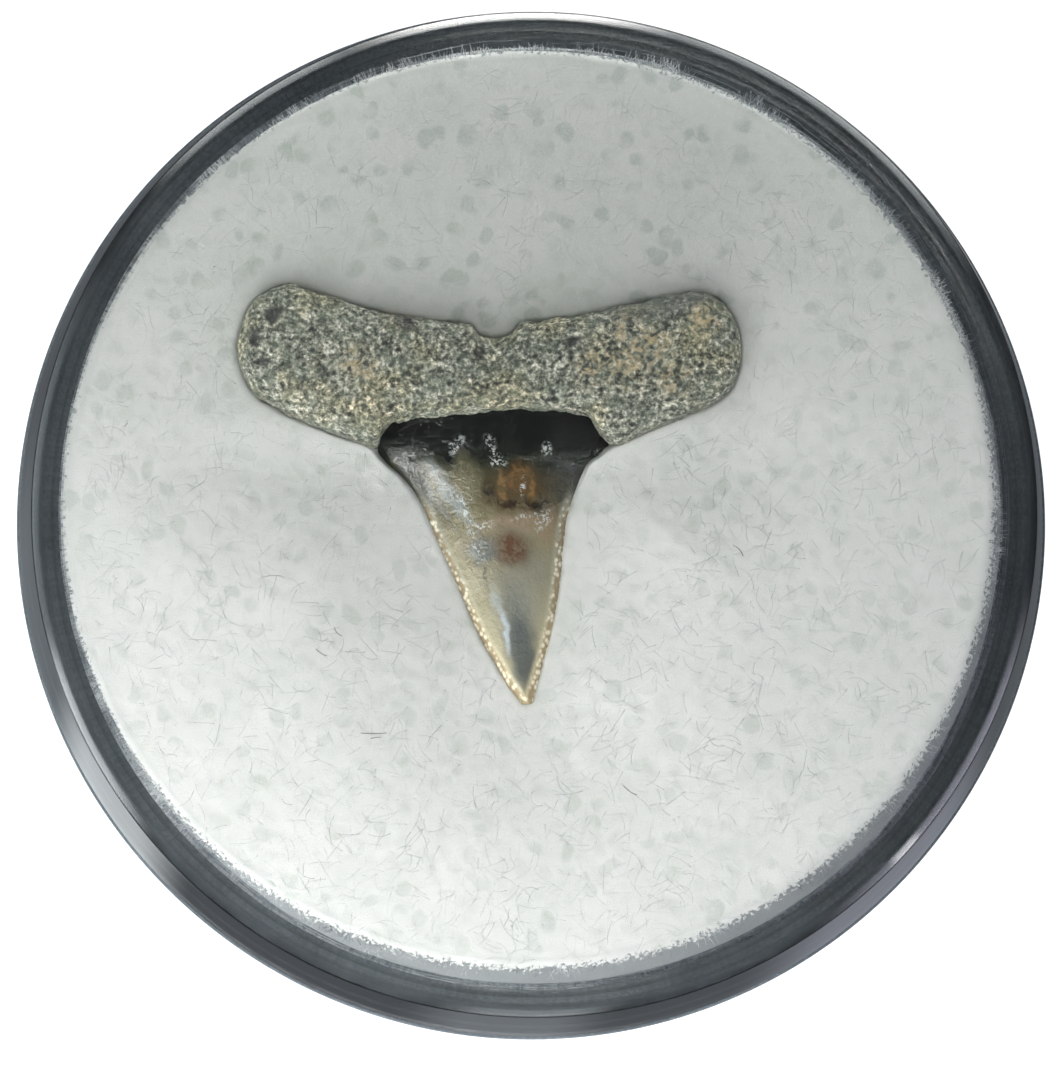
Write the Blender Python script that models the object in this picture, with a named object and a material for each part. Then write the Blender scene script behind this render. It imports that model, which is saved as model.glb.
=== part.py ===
"""Fossil lemon shark tooth in a small round display jar.

Metres, +Z up. The jar stands on Z = 0 with its axis on the Z axis, and the tooth points to -Y.
Lengths are written in millimetres and turned into metres where a mesh is made.
"""

import math

import bmesh
import bpy
from mathutils import Vector, noise

MM = 0.001

# Jar, overall
OUTER_RADIUS = 16.0
JAR_HEIGHT = 19.0
FIT_GAP = 0.3
TURN_SEGMENTS = 48

# Lid
LID_HEIGHT = 9.4
LID_PLATE = 1.2
LID_TOP_RADIUS = 15.25
LID_SHOULDER = 0.45
LID_INNER_TOP = 14.45
LID_INNER_LIP = 14.75

# Cup
FOOT_RADIUS = 15.75
FOOT_RING_INNER = 13.4
FOOT_RECESS = 0.45
FOOT_FILLET = 0.4
NECK_OUTER = 14.1
NECK_INNER = 13.3
NECK_TOP = 14.8
CUP_FLOOR = 1.5
CUP_INNER_FILLET = 0.6
CUP_EDGE_BEVEL = 0.2

# Pad
PAD_BODY_RADIUS = NECK_INNER - FIT_GAP
PAD_SWELL_RADIUS = LID_INNER_TOP - FIT_GAP
PAD_EDGE = 0.9
PAD_LIP = 0.25
PAD_INNER_RING = 0.6
SEAT_CLEARANCE = 0.4
SEAT_FLARE = 0.35
SEAT_ROOT_STRIDE = 4
SEAT_CROWN_STRIDE = 7

# Tooth, placed by the middle of the ledge where root and crown meet
LEDGE_X = -1.3
LEDGE_Y = 2.95
TOOTH_TOP = JAR_HEIGHT - LID_PLATE - FIT_GAP
ROOT_THICKNESS_MIDDLE = 3.1
ROOT_THICKNESS_LOBE = 2.3
LOBE_DROP = 0.35
ROOT_SQUARENESS = 2.8
ROOT_END_ROUNDING = 1.1
ROOT_STATION_STEP = 0.36
ROOT_SECTION_POINTS = 28
GROOVE_X = 0.1
GROOVE_DEPTH = 0.4
GROOVE_WIDTH = 0.5
NOTCH_HALF_WIDTH = 0.75
LUMP_HEIGHT = 0.09
LUMP_SIZE = 0.6
FINE_LUMP_SIZE = 0.27
HEEL_RISE = 0.12
LEDGE_OVERHANG = 0.35
LEDGE_HALF_WIDTH = 3.3
CROWN_THICKNESS_BASE = 1.9
CROWN_THICKNESS_TIP = 0.5
CROWN_TAPER = 1.6
CROWN_TIP_RISE = 1.3
CROWN_TIP_ROUNDING = 0.2
CROWN_EDGE_SHARPNESS = 1.7
CROWN_EDGE_LEVEL = 0.4
CROWN_NECK_STATIONS = 12
CROWN_SECTION_POINTS = 14
CROWN_PROUD_BELOW = 0.12
SERRATION_START = 3.9
SERRATION_END = 0.35
SERRATION_PITCH = 0.22
SERRATION_DEPTH = 0.04

# Pits in the root: x and y of the middle, radius, depth
PITS = [
    (-6.74, 3.12, 0.28, 0.22), (4.9, 1.7, 0.3, 0.12), (-3.4, 1.2, 0.35, 0.12), (1.9, 1.2, 0.3, 0.1),
]

# Root's outline from the right end round the basal edge to the left end and back along the ledge
ROOT_OUTLINE = [
    (7.54, 2.05), (7.44, 2.79), (7.12, 3.4), (6.5, 3.82), (5.6, 3.77), (4.34, 3.52), (3.0, 3.2),
    (1.6, 2.99), (0.85, 2.9), (0.62, 2.62), (0.1, 2.45), (-0.38, 2.6), (-0.62, 2.88),
    (-1.75, 2.98), (-3.0, 3.18), (-4.2, 3.5), (-5.3, 3.86), (-6.11, 4.05), (-6.75, 3.86),
    (-7.3, 3.35), (-7.62, 2.35), (-7.6, 1.8), (-7.4, 1.15), (-7.05, 0.66), (-6.3, 0.18),
    (-5.0, -0.4), (-4.0, -0.74), (-3.44, -0.92), (-3.2, -0.45), (-2.6, -0.23), (-1.5, -0.1),
    (0.0, 0.04), (1.0, 0.1), (2.0, 0.05), (2.9, -0.1), (3.2, -0.4), (3.75, -0.82),
    (4.6, -0.48), (5.7, -0.02), (6.6, 0.35), (7.2, 0.8), (7.47, 1.4),
]

# Cutting edges of the crown from its buried base to just above the tip
CROWN_LEFT_EDGE = [
    (-3.3, 1.5), (-3.6, 0.0), (-3.62, -0.8), (-3.22, -1.36), (-2.7, -1.8), (-2.17, -2.46),
    (-1.6, -3.72), (-1.02, -4.98), (-0.39, -6.46), (0.03, -7.19), (0.45, -7.92), (0.86, -8.45),
]
CROWN_RIGHT_EDGE = [
    (3.4, 1.5), (3.6, 0.0), (3.5, -0.99), (3.08, -1.31), (2.82, -1.73), (2.44, -2.7),
    (2.24, -3.83), (2.18, -4.57), (2.08, -5.41), (1.92, -6.24), (1.71, -7.09), (1.33, -8.38),
]
CROWN_TIP_Y = -8.61


def clear_scene():
    """Remove every object that the file opened with."""
    for old in list(bpy.data.objects):
        bpy.data.objects.remove(old, do_unlink=True)


def make_collection(name):
    """Return a new collection linked to the scene."""
    made = bpy.data.collections.new(name)
    bpy.context.scene.collection.children.link(made)
    return made


def make_material(name, color, roughness, **sockets):
    """Return a Principled material in one colour, with any further sockets by name."""
    material = bpy.data.materials.new(name)
    material.use_nodes = True
    shader = material.node_tree.nodes["Principled BSDF"]
    shader.inputs["Base Color"].default_value = (*color, 1.0)
    shader.inputs["Roughness"].default_value = roughness
    for socket, value in sockets.items():
        shader.inputs[socket.replace("_", " ")].default_value = value
    return material


def arc(centre_r, centre_z, radius, start, end, steps):
    """Points of a circular arc in the (radius, height) plane, angles in degrees."""
    points = []
    for step in range(steps + 1):
        angle = math.radians(start + (end - start) * step / steps)
        points.append((centre_r + radius * math.cos(angle), centre_z + radius * math.sin(angle)))
    return points


def link_mesh(name, bm, material, collection):
    """Turn a bmesh in millimetres into a named object in metres."""
    bmesh.ops.scale(bm, vec=(MM, MM, MM), verts=bm.verts)
    bmesh.ops.recalc_face_normals(bm, faces=bm.faces)
    mesh = bpy.data.meshes.new(name)
    bm.to_mesh(mesh)
    bm.free()
    made = bpy.data.objects.new(name, mesh)
    if material:
        mesh.materials.append(material)
    collection.objects.link(made)
    return made


def skin_rings(bm, rings, start_pole, end_pole):
    """Join closed rings of vertices with quads and close both ends on a pole vertex."""
    count = len(rings[0])
    for here, there in zip(rings, rings[1:]):
        for index in range(count):
            following = (index + 1) % count
            bm.faces.new((here[index], here[following], there[following], there[index]))
    for ring, pole in ((rings[0], start_pole), (rings[-1], end_pole)):
        for index in range(count):
            bm.faces.new((ring[index], ring[(index + 1) % count], pole))


def turned_solid(name, profile, material, collection):
    """Turn a profile about the Z axis; its first and last points lie on the axis."""
    bm = bmesh.new()
    rings = []
    for radius, height in profile[1:-1]:
        ring = []
        for segment in range(TURN_SEGMENTS):
            angle = 2.0 * math.pi * segment / TURN_SEGMENTS
            ring.append(bm.verts.new((radius * math.cos(angle), radius * math.sin(angle), height)))
        rings.append(ring)
    start_pole = bm.verts.new((0.0, 0.0, profile[0][1]))
    end_pole = bm.verts.new((0.0, 0.0, profile[-1][1]))
    skin_rings(bm, rings, start_pole, end_pole)
    return link_mesh(name, bm, material, collection)


def lofted_solid(name, sections, material, collection):
    """Skin a list of closed sections, each a list of points, and close both ends."""
    bm = bmesh.new()
    rings = [[bm.verts.new(point) for point in section] for section in sections]
    poles = []
    for section in (sections[0], sections[-1]):
        poles.append(bm.verts.new(sum(section, Vector()) / len(section)))
    skin_rings(bm, rings, poles[0], poles[1])
    return link_mesh(name, bm, material, collection)


def smooth_path(points, per_span, closed):
    """A Catmull-Rom curve through the points, as a list of (x, y) samples."""
    count = len(points)
    spans = count if closed else count - 1
    samples = []
    for span in range(spans):
        if closed:
            p0, p1, p2, p3 = (points[(span + shift) % count] for shift in (-1, 0, 1, 2))
        else:
            p0, p1, p2, p3 = (points[min(max(span + shift, 0), count - 1)] for shift in (-1, 0, 1, 2))
        for step in range(per_span):
            t = step / per_span
            sample = []
            for a, b, c, d in zip(p0, p1, p2, p3):
                sample.append(0.5 * (2.0 * b + (c - a) * t + (2.0 * a - 5.0 * b + 4.0 * c - d) * t * t
                                     + (3.0 * b - a - 3.0 * c + d) * t ** 3))
            samples.append(tuple(sample))
    if not closed:
        samples.append(points[-1])
    return samples


def read_off(samples, position):
    """Linear reading of a chain of (position, value) pairs sorted by position."""
    if position <= samples[0][0]:
        return samples[0][1]
    for (left, low), (right, high) in zip(samples, samples[1:]):
        if position <= right:
            share = (position - left) / max(right - left, 1e-9)
            return low + (high - low) * share
    return samples[-1][1]


def smooth_step(value):
    """Ease from 0 to 1."""
    value = min(max(value, 0.0), 1.0)
    return value * value * (3.0 - 2.0 * value)


def signed_power(value, exponent):
    """Power that keeps the sign, for superellipses."""
    return math.copysign(abs(value) ** exponent, value)


def cup_profile():
    """Cup from the underside's centre, up the outside, over the neck and down to the floor."""
    shoulder = JAR_HEIGHT - LID_HEIGHT - FIT_GAP
    rim = (NECK_OUTER - NECK_INNER) / 2.0
    rim_centre = (NECK_OUTER + NECK_INNER) / 2.0
    profile = [(0.0, FOOT_RECESS), (FOOT_RING_INNER - FOOT_RECESS, FOOT_RECESS), (FOOT_RING_INNER, 0.0)]
    profile += arc(FOOT_RADIUS - FOOT_FILLET, FOOT_FILLET, FOOT_FILLET, -90, 0, 3)
    profile += [(OUTER_RADIUS, shoulder - CUP_EDGE_BEVEL), (OUTER_RADIUS - CUP_EDGE_BEVEL, shoulder)]
    profile += [(NECK_OUTER, shoulder)]
    profile += arc(rim_centre, NECK_TOP - rim, rim, 0, 180, 4)
    profile += arc(NECK_INNER - CUP_INNER_FILLET, CUP_FLOOR + CUP_INNER_FILLET, CUP_INNER_FILLET, 0, -90, 3)
    profile += [(0.0, CUP_FLOOR)]
    return profile


def lid_profile():
    """Lid from the top's centre, down the outside, round the lip and up the inside."""
    lip = JAR_HEIGHT - LID_HEIGHT
    underside = JAR_HEIGHT - LID_PLATE
    shoulder_centre = (LID_TOP_RADIUS - LID_SHOULDER, JAR_HEIGHT - LID_SHOULDER)
    profile = [(0.0, JAR_HEIGHT)]
    profile += arc(*shoulder_centre, LID_SHOULDER, 90, 0, 5)
    profile += [(OUTER_RADIUS, lip), (LID_INNER_LIP, lip), (LID_INNER_TOP, underside), (0.0, underside)]
    return profile


def pad_profile():
    """Pad from its underside's centre, up inside the neck and swelling over the neck's rim."""
    foot = CUP_FLOOR + FIT_GAP
    swell = NECK_TOP + FIT_GAP
    profile = [(0.0, foot), (PAD_BODY_RADIUS - PAD_EDGE, foot), (PAD_BODY_RADIUS, foot + PAD_EDGE)]
    profile += [(PAD_BODY_RADIUS, swell), (PAD_SWELL_RADIUS - PAD_LIP, swell)]
    profile += arc(PAD_SWELL_RADIUS - PAD_EDGE, TOOTH_TOP - PAD_EDGE, PAD_EDGE, 0, 90, 4)
    profile += [(PAD_SWELL_RADIUS * PAD_INNER_RING, TOOTH_TOP), (0.0, TOOTH_TOP)]
    return profile


def root_edges():
    """Basal edge and ledge edge of the root, each as (x, y) pairs sorted by x."""
    outline = smooth_path(ROOT_OUTLINE, 8, closed=True)
    left = min(range(len(outline)), key=lambda index: outline[index][0])
    right = max(range(len(outline)), key=lambda index: outline[index][0])
    outline = outline[right:] + outline[:right]
    turn = (left - right) % len(outline)
    basal = sorted(outline[:turn + 1])
    ledge = sorted(outline[turn:] + outline[:1])
    return basal, ledge


def root_stations(basal):
    """Places along the root, closer together round the two ends."""
    start = basal[0][0]
    end = basal[-1][0]
    end_steps = 7
    places = []
    for step in range(1, end_steps):
        places.append(ROOT_END_ROUNDING * (1.0 - math.cos(0.5 * math.pi * step / end_steps)))
    middle = end - start - 2.0 * ROOT_END_ROUNDING
    count = round(middle / ROOT_STATION_STEP)
    inner = [start + ROOT_END_ROUNDING + middle * step / count for step in range(count + 1)]
    inner = [x for x in inner if abs(x - GROOVE_X) > NOTCH_HALF_WIDTH + ROOT_STATION_STEP / 3.0]
    notch = [GROOVE_X + NOTCH_HALF_WIDTH * step / 5.0 for step in range(-5, 6)]
    return [start + p for p in places] + sorted(inner + notch) + [end - p for p in reversed(places)]


def root_thickness(x, start, end):
    """Thickness of the root at x: full in the middle, thinner in the lobes, round at the ends."""
    half = (end - start) / 2.0
    offset = abs(x - (start + end) / 2.0)
    thickness = ROOT_THICKNESS_LOBE
    thickness += (ROOT_THICKNESS_MIDDLE - ROOT_THICKNESS_LOBE) * (1.0 - (offset / half) ** 2)
    into_end = max(0.0, (offset - (half - ROOT_END_ROUNDING)) / ROOT_END_ROUNDING)
    return thickness * math.sqrt(max(0.0, 1.0 - into_end ** 2))


def root_section(x, low, high, thickness, top):
    """One closed section of the root: groove and pits on top, the enamel's low heels below."""
    centre = Vector((x, (low + high) / 2.0, top - thickness / 2.0))
    points = []
    for step in range(ROOT_SECTION_POINTS):
        angle = 2.0 * math.pi * step / ROOT_SECTION_POINTS
        across = signed_power(math.cos(angle), 2.0 / ROOT_SQUARENESS)
        upward = signed_power(math.sin(angle), 2.0 / ROOT_SQUARENESS)
        point = centre + Vector((0.0, across * (high - low) / 2.0, upward * thickness / 2.0))
        if upward > 0.0:
            groove = math.exp(-((x - GROOVE_X) / GROOVE_WIDTH) ** 2)
            point.z -= GROOVE_DEPTH * groove * upward * smooth_step((across + 0.3) / 1.1)
            for pit_x, pit_y, radius, depth in PITS:
                away = math.hypot(x - pit_x, point.y - pit_y) / radius
                point.z -= depth * upward * math.exp(-away * away)
        else:
            point.z += HEEL_RISE * upward * smooth_step((0.1 - across) / 0.2)
        over_crown = smooth_step((LEDGE_HALF_WIDTH - abs(x)) / 0.4) * max(0.0, -across)
        point.y += LEDGE_OVERHANG * over_crown * (1.0 - upward) / 2.0
        outward = (point - centre).normalized()
        lump = noise.noise(point / LUMP_SIZE) + 0.5 * noise.noise(point / FINE_LUMP_SIZE)
        swell = min(1.0, thickness / ROOT_THICKNESS_LOBE)
        point += outward * (lump * 0.7 - 0.5) * LUMP_HEIGHT * swell
        points.append(point)
    return points


def root_sections():
    """Sections of the root, a two-lobed bar with a groove and notch in its basal edge."""
    basal, ledge = root_edges()
    start = basal[0][0]
    end = basal[-1][0]
    sections = []
    for x in root_stations(basal):
        thickness = root_thickness(x, start, end)
        top = TOOTH_TOP - (ROOT_THICKNESS_MIDDLE - thickness) * LOBE_DROP
        sections.append(root_section(x, read_off(ledge, x), read_off(basal, x), thickness, top))
    return sections


def crown_edges():
    """Left and right cutting edges as (distance down the crown, x) pairs."""
    base = CROWN_LEFT_EDGE[0][1]
    edges = []
    for edge in (CROWN_LEFT_EDGE, CROWN_RIGHT_EDGE):
        edges.append([(base - y, x) for x, y in smooth_path(edge, 6, closed=False)])
    return base, edges[0], edges[1]


def crown_stations(length):
    """Places down the crown: its neck, two to each serration, and the rounded tip."""
    places = [SERRATION_START * step / CROWN_NECK_STATIONS for step in range(CROWN_NECK_STATIONS)]
    serrated = length - SERRATION_END - SERRATION_START
    count = 2 * round(serrated / SERRATION_PITCH)
    places += [SERRATION_START + serrated * step / count for step in range(count + 1)]
    places += [length - CROWN_TIP_ROUNDING * share for share in (1.0, 0.6, 0.3, 0.1)]
    return places


def crown_section(y, left, right, top, bottom):
    """One lens-shaped section with thin cutting edges."""
    middle = (left + right) / 2.0
    half = (right - left) / 2.0
    edge_height = bottom + (top - bottom) * CROWN_EDGE_LEVEL
    points = []
    for step in range(CROWN_SECTION_POINTS):
        angle = 2.0 * math.pi * step / CROWN_SECTION_POINTS
        across = math.cos(angle)
        bulge = abs(math.sin(angle)) ** CROWN_EDGE_SHARPNESS
        height = edge_height + bulge * ((top if math.sin(angle) > 0.0 else bottom) - edge_height)
        points.append(Vector((middle + half * across, y, height)))
    return points


def crown_sections():
    """Sections of the crown, a slender blade with fine serrations, its base buried in the root."""
    base, left_edge, right_edge = crown_edges()
    length = base - CROWN_TIP_Y
    underside = TOOTH_TOP - ROOT_THICKNESS_MIDDLE - CROWN_PROUD_BELOW
    sections = []
    for index, place in enumerate(crown_stations(length)):
        left = read_off(left_edge, place)
        right = read_off(right_edge, place)
        if SERRATION_START <= place <= length - SERRATION_END and index % 2 == 1:
            left += SERRATION_DEPTH
            right -= SERRATION_DEPTH
        into_tip = max(0.0, 1.0 - (length - place) / CROWN_TIP_ROUNDING)
        rounding = math.sqrt(1.0 - into_tip ** 2)
        pinch = (right - left) / 2.0 * (1.0 - rounding)
        along = place / length
        extra = (CROWN_THICKNESS_BASE - CROWN_THICKNESS_TIP) * (1.0 - along ** CROWN_TAPER)
        thickness = CROWN_THICKNESS_TIP + extra
        bottom = underside + CROWN_TIP_RISE * along ** 2 + thickness * (1.0 - rounding) / 2.0
        top = bottom + thickness * rounding
        sections.append(crown_section(base - place, left + pinch, right - pinch, top, bottom))
    return sections


def seat_sections(sections, stride, axis):
    """Sections of the hollow that the tooth presses in the pad: wider, deeper and open above."""
    sections = sections[:-1:stride] + sections[-1:]
    middle = (sections[0][0][axis] + sections[-1][0][axis]) / 2.0
    half = abs(sections[0][0][axis] - sections[-1][0][axis]) / 2.0
    seat = []
    for section in sections:
        centre = sum(section, Vector()) / len(section)
        shift = Vector()
        shift[axis] = (centre[axis] - middle) * SEAT_CLEARANCE / half
        hollow = []
        for point in section:
            offset = point - centre
            outward = Vector((offset.x, offset.y, 0.0))
            outward.normalize()
            moved = point + shift + outward * SEAT_CLEARANCE
            if offset.z > 0.0:
                moved += outward * SEAT_FLARE
                moved.z = TOOTH_TOP + 1.0
            else:
                moved.z -= SEAT_CLEARANCE
            hollow.append(moved)
        seat.append(hollow)
    return seat


def add_boolean(target, tool, operation):
    """Exact boolean with a tool object that stays out of renders."""
    modifier = target.modifiers.new(tool.name, "BOOLEAN")
    modifier.operation = operation
    modifier.solver = "EXACT"
    modifier.object = tool
    tool.hide_render = True
    tool.display_type = "WIRE"


def build():
    """Model the jar, its pad and the tooth."""
    clear_scene()
    parts = make_collection("fossil_shark_tooth")
    tools = make_collection("cutters")

    black_plastic = make_material("black_plastic", (0.02, 0.024, 0.028), 0.25)
    clear_plastic = make_material("clear_plastic", (0.95, 0.97, 0.97), 0.04,
                                  Transmission_Weight=1.0, IOR=1.59)
    white_fibre = make_material("white_fibre", (0.82, 0.84, 0.84), 0.9)
    fossil = make_material("fossil", (0.2, 0.21, 0.17), 0.55)

    turned_solid("jar_base", cup_profile(), black_plastic, parts)
    turned_solid("jar_lid", lid_profile(), clear_plastic, parts)
    pad = turned_solid("foam_pad", pad_profile(), white_fibre, parts)

    root = root_sections()
    blade = crown_sections()
    tooth = lofted_solid("tooth", root, fossil, parts)
    crown = lofted_solid("crown", blade, None, tools)
    root_seat = lofted_solid("root_seat", seat_sections(root, SEAT_ROOT_STRIDE, 0), None, tools)
    crown_seat = lofted_solid("crown_seat", seat_sections(blade, SEAT_CROWN_STRIDE, 1), None, tools)
    for piece in (tooth, crown, root_seat, crown_seat):
        piece.location = (LEDGE_X * MM, LEDGE_Y * MM, 0.0)
    add_boolean(tooth, crown, "UNION")
    add_boolean(pad, root_seat, "DIFFERENCE")
    add_boolean(pad, crown_seat, "DIFFERENCE")


build()
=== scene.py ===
"""Looks of the fossil lemon shark tooth in its small round display jar.

Lengths are in millimetres in the code and become metres where a mesh or a lamp is placed.
The jar stands on Z = 0, its axis is the Z axis, and the tooth points to -Y.
"""

import math

import bpy
import numpy as np
from mathutils import Matrix, Vector, noise


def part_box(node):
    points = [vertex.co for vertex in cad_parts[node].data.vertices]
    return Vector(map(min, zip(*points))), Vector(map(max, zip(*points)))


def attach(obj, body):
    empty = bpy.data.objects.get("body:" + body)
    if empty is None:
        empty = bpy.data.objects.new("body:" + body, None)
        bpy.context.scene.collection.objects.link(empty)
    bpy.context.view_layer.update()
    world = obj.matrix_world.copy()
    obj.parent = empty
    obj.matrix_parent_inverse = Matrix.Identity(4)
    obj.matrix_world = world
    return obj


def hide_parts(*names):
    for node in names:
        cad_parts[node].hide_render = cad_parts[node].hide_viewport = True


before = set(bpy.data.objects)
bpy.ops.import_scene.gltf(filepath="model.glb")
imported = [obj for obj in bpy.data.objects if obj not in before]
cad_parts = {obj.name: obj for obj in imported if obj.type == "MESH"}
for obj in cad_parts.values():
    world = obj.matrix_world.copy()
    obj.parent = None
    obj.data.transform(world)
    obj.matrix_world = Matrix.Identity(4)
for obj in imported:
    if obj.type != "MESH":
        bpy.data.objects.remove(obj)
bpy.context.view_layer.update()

MM = 0.001
SEED = 11

# Jar, read from the frame
LID_BOX = [[c / MM for c in corner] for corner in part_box("jar_lid")]
CUP_BOX = [[c / MM for c in corner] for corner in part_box("jar_base")]
PAD_BOX = [[c / MM for c in corner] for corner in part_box("foam_pad")]
OUTER_RADIUS = LID_BOX[1][0]
JAR_TOP = LID_BOX[1][2]
LID_LIP = LID_BOX[0][2]
CUP_SHOULDER_RADIUS = CUP_BOX[1][0]
NECK_TOP = CUP_BOX[1][2]
PAD_FOOT = PAD_BOX[0][2]

# Jar, moulded sizes
TURN_SEGMENTS = 256
SHARP_ANGLE = 35.0
LID_PLATE = 1.2
LID_RADIUS = OUTER_RADIUS - 0.05
LID_TOP_RADIUS = 15.25
LID_SHOULDER = 0.45
LID_INNER_TOP = 14.45
LID_INNER_LIP = 14.75
LID_RINGS = (14.4, 14.64)
LID_RING_DEPTH = 0.01
LID_RING_FOOT = 0.05
LID_RING_FLOOR = 0.01
LINES_FROM = (14.1, 14.35)
LINES_ABOVE = (17.6, 18.3)
FOOT_RADIUS = 15.75
FOOT_RING_INNER = 13.4
FOOT_RECESS = 0.45
FOOT_FILLET = 0.4
SHOULDER_GAP = 0.04
NECK_OUTER = 14.1
NECK_INNER = 13.3
NECK_FOOT = 0.15
CUP_FLOOR = 1.5
CUP_INNER_FILLET = 0.6
CUP_EDGE_BEVEL = 0.02

# Tooth, placed by the middle of the ledge where root and crown meet
LEDGE_X = -1.3
LEDGE_Y = 2.95
TOOTH_TO_LID = 0.3
TOOTH_TOP = JAR_TOP - LID_PLATE - TOOTH_TO_LID
ROOT_THICKNESS_MIDDLE = 3.1
ROOT_THICKNESS_LOBE = 2.3
ROOT_SQUARENESS = 2.8
ROOT_END_ROUNDING = 1.1
ROOT_END_STEPS = 26
ROOT_TOP_FALL = 0.35
ROOT_STATION_STEP = 0.055
ROOT_SECTION_POINTS = 190
GROOVE_X = 0.1
GROOVE_DEPTH = 0.4
GROOVE_WIDTH = 0.5
LUMP_HEIGHT = 0.09
LUMP_SIZE = 0.6
PORE_SIZE = 0.42
PORE_DEPTH = 0.05
# Pits in the root: x, y, radius and depth
PITS = [(-6.74, 3.12, 0.28, 0.22), (4.9, 1.7, 0.3, 0.12), (-3.4, 1.2, 0.35, 0.12), (1.9, 1.2, 0.3, 0.1)]
HEEL_RISE = 0.12
LEDGE_OVERHANG = 0.35
LEDGE_HALF_WIDTH = 3.3
CROWN_THICKNESS_BASE = 1.9
CROWN_THICKNESS_TIP = 0.5
CROWN_TAPER = 1.6
CROWN_TIP_RISE = 1.3
CROWN_TIP_ROUNDING = 0.2
CROWN_EDGE_SHARPNESS = 1.7
CROWN_PROUD_BELOW = 0.12
CROWN_STATION_STEP = 0.035
CROWN_SECTION_POINTS = 96
SERRATION_START = 3.9
SERRATION_END = 0.35
SERRATION_PITCH = 0.16
SERRATION_DEPTH = 0.06
SERRATION_NARROWNESS = 14.0
ROOT_OUTLINE = [
    (7.54, 2.05), (7.44, 2.79), (7.12, 3.4), (6.5, 3.82), (5.6, 3.77), (4.34, 3.52), (3.0, 3.2),
    (1.6, 2.99), (0.85, 2.9), (0.62, 2.62), (0.1, 2.45), (-0.38, 2.6), (-0.62, 2.88),
    (-1.75, 2.98), (-3.0, 3.18), (-4.2, 3.5), (-5.3, 3.86), (-6.11, 4.05), (-6.75, 3.86),
    (-7.3, 3.35), (-7.62, 2.35), (-7.6, 1.8), (-7.4, 1.15), (-7.05, 0.66), (-6.3, 0.18),
    (-5.0, -0.4), (-4.0, -0.74), (-3.44, -0.92), (-3.2, -0.45), (-2.6, -0.23), (-1.5, -0.1),
    (0.0, 0.04), (1.0, 0.1), (2.0, 0.05), (2.9, -0.1), (3.2, -0.4), (3.75, -0.82),
    (4.6, -0.48), (5.7, -0.02), (6.6, 0.35), (7.2, 0.8), (7.47, 1.4),
]
CROWN_LEFT_EDGE = [
    (-3.3, 1.5), (-3.6, 0.0), (-3.62, -0.8), (-3.22, -1.36), (-2.7, -1.8), (-2.17, -2.46),
    (-1.6, -3.72), (-1.02, -4.98), (-0.39, -6.46), (0.03, -7.19), (0.45, -7.92), (0.86, -8.45),
]
CROWN_RIGHT_EDGE = [
    (3.4, 1.5), (3.6, 0.0), (3.5, -0.99), (3.08, -1.31), (2.82, -1.73), (2.44, -2.7),
    (2.24, -3.83), (2.18, -4.57), (2.08, -5.41), (1.92, -6.24), (1.71, -7.09), (1.33, -8.38),
]
CROWN_TIP_Y = -8.61
CROWN_SHOWS_BELOW = -0.9
LEDGE_SHOWS = (-3.44, 3.7)

# Colours on the root: x, y and radius of tan stains and of dark spots, in the jar's own frame
ROOT_TAN_STAINS = [(-5.3, 4.6, 0.5), (2.8, 5.7, 0.5), (3.5, 5.1, 0.5), (2.8, 4.5, 0.6), (1.7, 4.4, 0.5),
                   (5.1, 5.9, 0.5), (-4.2, 6.3, 0.4), (4.3, 4.1, 0.5)]
ROOT_DARK_SPOTS = [(-7.9, 6.1, 0.24), (-8.45, 5.4, 0.22), (-8.2, 4.6, 0.2), (-3.9, 5.85, 0.25),
                   (-1.6, 4.9, 0.16), (1.2, 5.3, 0.14)]

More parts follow.
